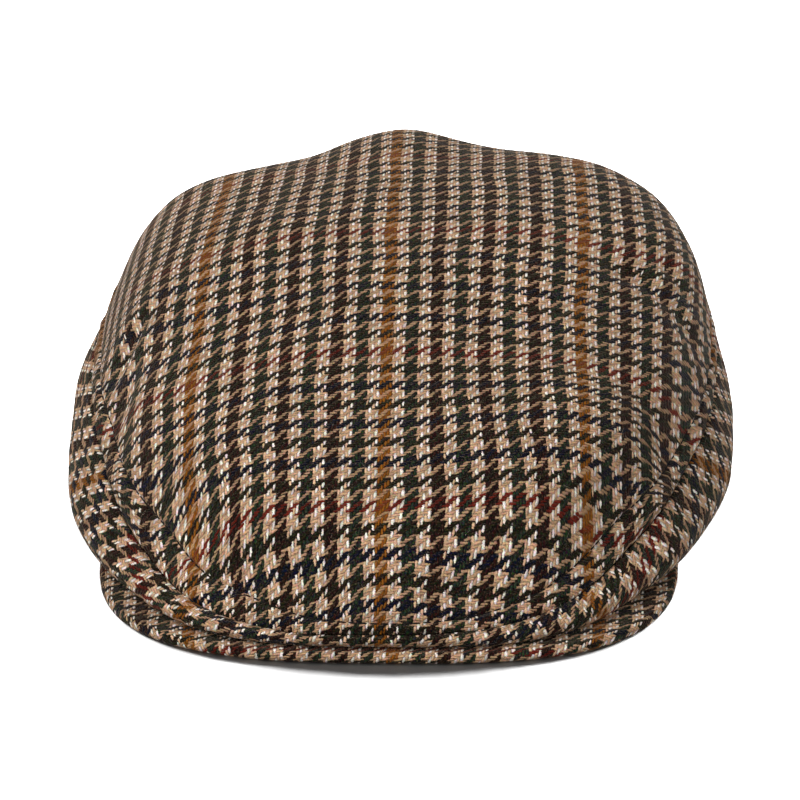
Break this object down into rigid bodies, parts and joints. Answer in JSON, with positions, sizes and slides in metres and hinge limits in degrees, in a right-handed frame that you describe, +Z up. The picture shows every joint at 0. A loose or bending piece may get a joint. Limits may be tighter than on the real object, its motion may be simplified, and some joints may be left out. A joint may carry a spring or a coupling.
{
  "type": "flat cap",
  "caption": "Flat cap in checked wool tweed: a domed top panel sewn to a side band, with a short stiff peak at the front.",
  "frame": {"origin": "on the surface that the cap lies on, under the middle of its box", "axes": "-Y towards the peak, +X to the wearer's left, +Z up"},
  "size_m": [0.2226, 0.276, 0.101],
  "materials": {
    "tweed_top": "matte",
    "tweed_band": "matte",
    "tweed_peak": "matte"
  },
  "bodies": {
    "root": {"top_panel": "tweed_top", "side_band": "tweed_band", "peak": "tweed_peak"}
  },
  "joints": []
}
